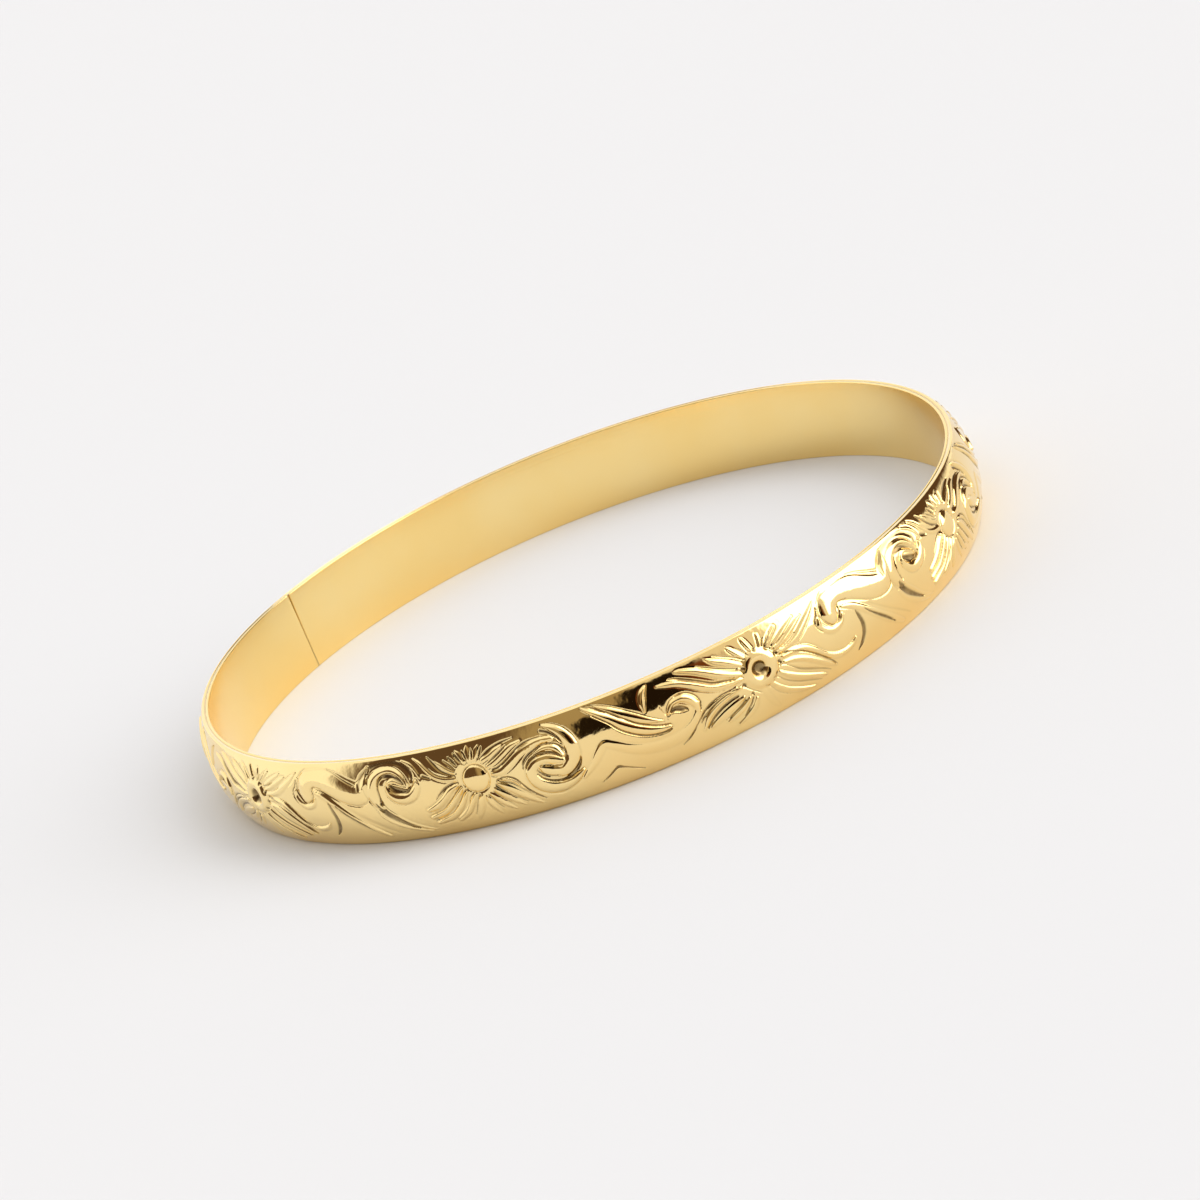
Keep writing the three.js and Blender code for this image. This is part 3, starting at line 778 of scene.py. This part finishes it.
polished = gold_finish("polished_gold_plate", 2.6e-5, {
    "Gold": (1.0, 0.78, 0.37, 1),
    "Deep gold": (0.985, 0.72, 0.31, 1),
    # near-black brown painted into the grooves: residue and painted shade
    "Residue and shade colour": (0.055, 0.02, 0.006, 1),
    "Residue and shade amount": 0.85,
    "Base roughness": 0.03,
    "Roughness change": 0.03,
    "Brushing": 0.04,
})
satin = gold_finish("satin_gold_plate", 1.2e-5, {
    "Gold": (1.0, 0.775, 0.345, 1),
    "Deep gold": (0.99, 0.73, 0.285, 1),
    "Residue and shade colour": (0.10, 0.055, 0.02, 1),
    "Residue and shade amount": 0.0,
    "Base roughness": 0.13,
    "Roughness change": 0.08,
    "Brushing": 0.25,
})
solder = gold_finish("plated_solder", 8e-6, {
    "Gold": (0.93, 0.73, 0.36, 1),
    "Deep gold": (0.88, 0.66, 0.30, 1),
    "Residue and shade colour": (0.10, 0.055, 0.02, 1),
    "Residue and shade amount": 0.0,
    "Base roughness": 0.2,
    "Roughness change": 0.1,
    "Brushing": 0.3,
})

# ---- Pieces -----------------------------------------------------------------------------------------

make_shell(polished)
make_liner(satin)
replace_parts(make_seam("upper_solder_line", BAND_WIDTH, solder), "upper_solder_seam")
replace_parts(make_seam("lower_solder_line", 0, solder), "lower_solder_seam")
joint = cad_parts["shell_closing_joint"].data
joint.materials.clear()
joint.materials.append(polished)

# ---- Floor, light and camera ------------------------------------------------------------------------

FLOOR_HALF = 2.5  # metres
FLOOR_COLOUR = (0.79, 0.80, 0.825, 1)
LIGHT_STRENGTH = 1.13
ROOM_COLOUR = (0.98, 0.975, 0.97)

# Cards hang round the bangle in the pale room. Each is the azimuth of its middle, half its width, its
# lowest and highest elevation, the softness of its sides and of its other edges, all in degrees, and
# its colour. A card covers those before it.
CARDS = [
    ((-116, 57, -25, 52, 9, 8), (0.34, 0.27, 0.17)),
    ((-149, 25, -5, 42, 6, 8), (0.10, 0.06, 0.035)),
    ((-56, 15, -5, 60, 3, 3), (0.72, 0.68, 0.62)),
    ((-76, 12, 34, 62, 4, 3), (0.72, 0.68, 0.62)),
    ((-88, 19, -3, 20, 2, 2), (0.012, 0.007, 0.004)),
    ((-80, 13, -3, 36, 3, 2), (0.012, 0.007, 0.004)),
    ((-68, 5, -3, 30, 3, 4), (0.14, 0.045, 0.015)),
    ((24, 29, 4, 46, 5, 3), (0.09, 0.05, 0.028)),
    ((-19, 26, -5, 62, 4, 4), (3.1, 3.0, 2.9)),
]

AIM = (0.0009, -0.0016, MIDDLE * MM)
DISTANCE = 0.3168
ELEVATION = math.radians(18.8)
AZIMUTH = math.radians(-90.2)
ROLL = math.radians(-22.4)


def add_floor():
    """A plain pale cloth, flat under the bangle."""
    cloth = bpy.data.materials.new("pale_cloth")
    cloth.use_nodes = True
    shader = cloth.node_tree.nodes["Principled BSDF"]
    shader.inputs["Base Color"].default_value = FLOOR_COLOUR
    shader.inputs["Roughness"].default_value = 0.9
    mesh = bpy.data.meshes.new("floor")
    corners = [(x * FLOOR_HALF, y * FLOOR_HALF, 0) for x, y in [(-1, -1), (1, -1), (1, 1), (-1, 1)]]
    mesh.from_pydata(corners, [], [(0, 1, 2, 3)])
    mesh.materials.append(cloth)
    floor = bpy.data.objects.new("floor", mesh)
    bpy.context.scene.collection.objects.link(floor)


def fade(tree, value, start, end):
    """A smooth step from 0 at the start to 1 at the end."""
    node = tree.nodes.new("ShaderNodeMapRange")
    node.interpolation_type = "SMOOTHSTEP"
    tree.links.new(value, node.inputs["Value"])
    node.inputs["From Min"].default_value = start
    node.inputs["From Max"].default_value = end
    return node.outputs["Result"]


def card(tree, view, centre, half_width, low, high, soft_side, soft_edge):
    """How much of a card is seen: 1 inside azimuth centre +- half_width and elevation low..high."""
    turn = tree.nodes.new("ShaderNodeMapping")
    turn.inputs["Rotation"].default_value[2] = -math.radians(centre)
    tree.links.new(view, turn.inputs["Vector"])
    split = tree.nodes.new("ShaderNodeSeparateXYZ")
    tree.links.new(turn.outputs[0], split.inputs[0])
    x, y, z = split.outputs
    azimuth = math_node(tree, "ABSOLUTE", math_node(tree, "ARCTAN2", y, x))
    elevation = math_node(tree, "ARCSINE", z)
    side = fade(tree, azimuth, *np.radians([half_width + soft_side, half_width - soft_side]))
    bottom = fade(tree, elevation, *np.radians([low - soft_edge, low + soft_edge]))
    top = fade(tree, elevation, *np.radians([high + soft_edge, high - soft_edge]))
    return math_node(tree, "MULTIPLY", side, math_node(tree, "MULTIPLY", bottom, top))


def light_room():
    """The pale room and its cards, as colours of the directions that light comes from."""
    world = bpy.data.worlds.new("studio")
    bpy.context.scene.world = world
    world.use_nodes = True
    tree = world.node_tree
    view = tree.nodes.new("ShaderNodeTexCoord").outputs["Generated"]
    seen = None
    for shape, colour in CARDS:
        mix = tree.nodes.new("ShaderNodeMix")
        mix.data_type = "RGBA"
        tree.links.new(card(tree, view, *shape), mix.inputs["Factor"])
        if seen is None:
            mix.inputs["A"].default_value = (*ROOM_COLOUR, 1)
        else:
            tree.links.new(seen, mix.inputs["A"])
        mix.inputs["B"].default_value = (*colour, 1)
        seen = mix.outputs["Result"]
    background = tree.nodes["Background"]
    tree.links.new(seen, background.inputs["Color"])
    background.inputs["Strength"].default_value = LIGHT_STRENGTH


def add_camera():
    """The camera, looking at the band from a little above, rolled about its own line of sight."""
    level = math.cos(ELEVATION)
    toward = Vector((level * math.cos(AZIMUTH), level * math.sin(AZIMUTH), math.sin(ELEVATION)))
    data = bpy.data.cameras.new("camera")
    data.lens = 115.2
    data.clip_start = 0.01
    camera = bpy.data.objects.new("camera", data)
    bpy.context.scene.collection.objects.link(camera)
    facing = (-toward).to_track_quat("-Z", "Y").to_matrix().to_4x4()
    turn = facing @ Matrix.Rotation(ROLL, 4, "Z")
    camera.matrix_world = Matrix.Translation(Vector(AIM) + toward * DISTANCE) @ turn
    bpy.context.scene.camera = camera


add_floor()
light_room()
add_camera()
bpy.context.scene.view_settings.view_transform = "Standard"
